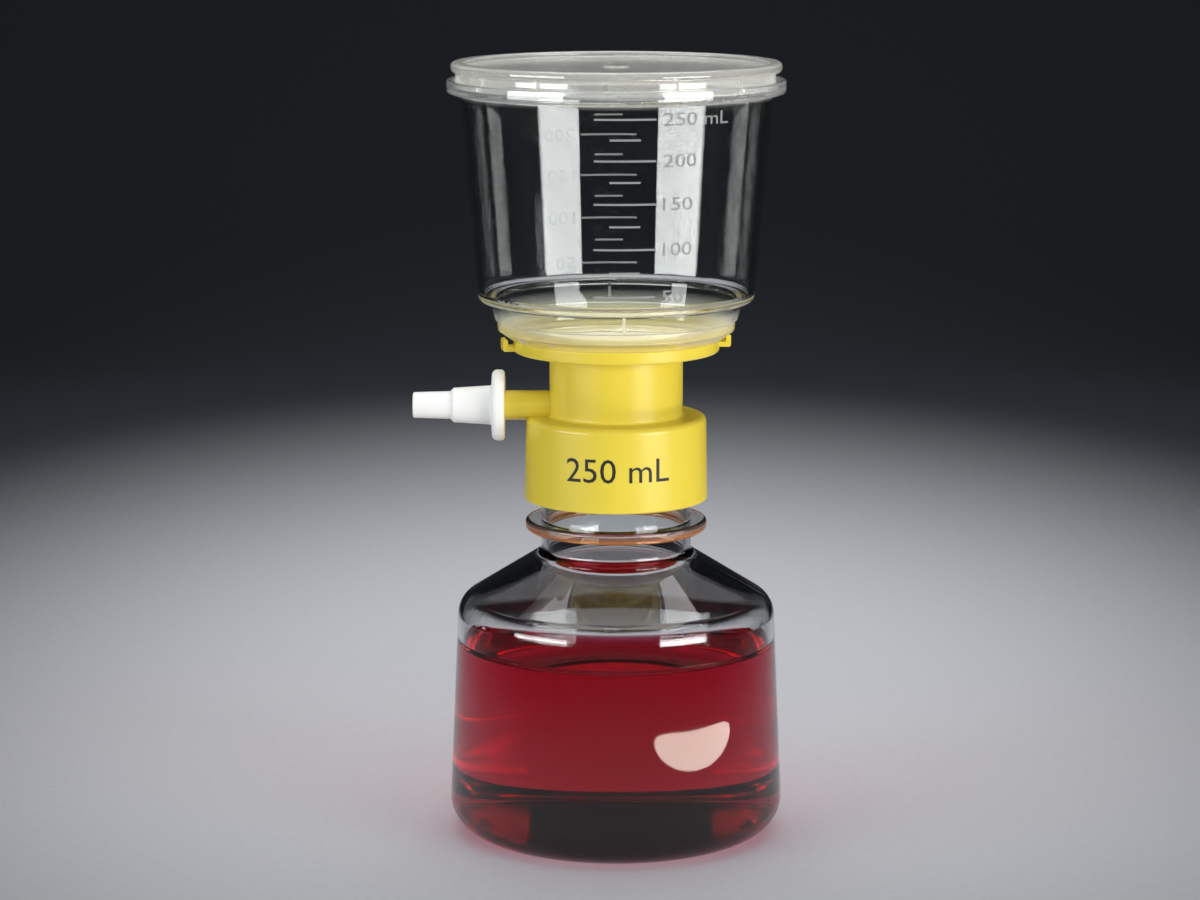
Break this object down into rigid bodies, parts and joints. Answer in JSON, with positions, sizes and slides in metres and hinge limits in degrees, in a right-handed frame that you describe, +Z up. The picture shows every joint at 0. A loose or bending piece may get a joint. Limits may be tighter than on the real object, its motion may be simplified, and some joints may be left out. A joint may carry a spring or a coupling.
{
  "type": "vacuum filtration unit",
  "caption": "Clear graduated funnel with lid on a yellow adapter with side arm and white hose adapter, screwed onto a clear bottle of red filtrate.",
  "frame": {"origin": "centre of the receiver bottle's foot, on the bench", "axes": "+Z up along the unit's axis; -X towards the vacuum side arm's end; -Y is the front, where the capacity scale is read"},
  "size_m": [0.0987, 0.0894, 0.2063],
  "materials": {
    "bottle_clear": "clear polystyrene, polished",
    "filtrate_red": "red liquid, clear",
    "gasket_rubber": "silicone, satin",
    "adapter_yellow": "moulded, satin gloss",
    "membrane_white": "matt, microporous",
    "plug_fibre": "pressed fibre",
    "hose_white": "moulded, matt",
    "funnel_clear": "clear polystyrene, polished",
    "lid_clear": "clear polystyrene, slightly hazy"
  },
  "bodies": {
    "receiver": {"receiver_bottle": "bottle_clear", "filtrate": "filtrate_red"},
    "seal": {"bottle_gasket": "gasket_rubber"},
    "upper": {"filter_adapter": "adapter_yellow", "membrane": "membrane_white", "side_arm_plug": "plug_fibre", "funnel": "funnel_clear"},
    "lid": {"funnel_lid": "lid_clear"},
    "hose_end": {"hose_adapter": "hose_white"}
  },
  "joints": [
    {"name": "unscrew_lift", "type": "slide", "parent": "receiver", "child": "seal", "axis": [0, 0, 1], "range_m": [0, 0.006]},
    {"name": "unscrew", "type": "hinge", "parent": "seal", "child": "upper", "pos_m": [0, 0, 0.112], "axis": [0, 0, 1], "range_deg": [0, 540]},
    {"name": "lid_lift", "type": "slide", "parent": "upper", "child": "lid", "axis": [0, 0, 1], "range_m": [0, 0.04]},
    {"name": "hose_pull_off", "type": "slide", "parent": "upper", "child": "hose_end", "axis": [-1, 0, 0], "range_m": [0, 0.03]}
  ],
  "couplings": [
    {"joint": "unscrew_lift", "follows": "unscrew", "m_per_rad": 0.00063662}
  ]
}
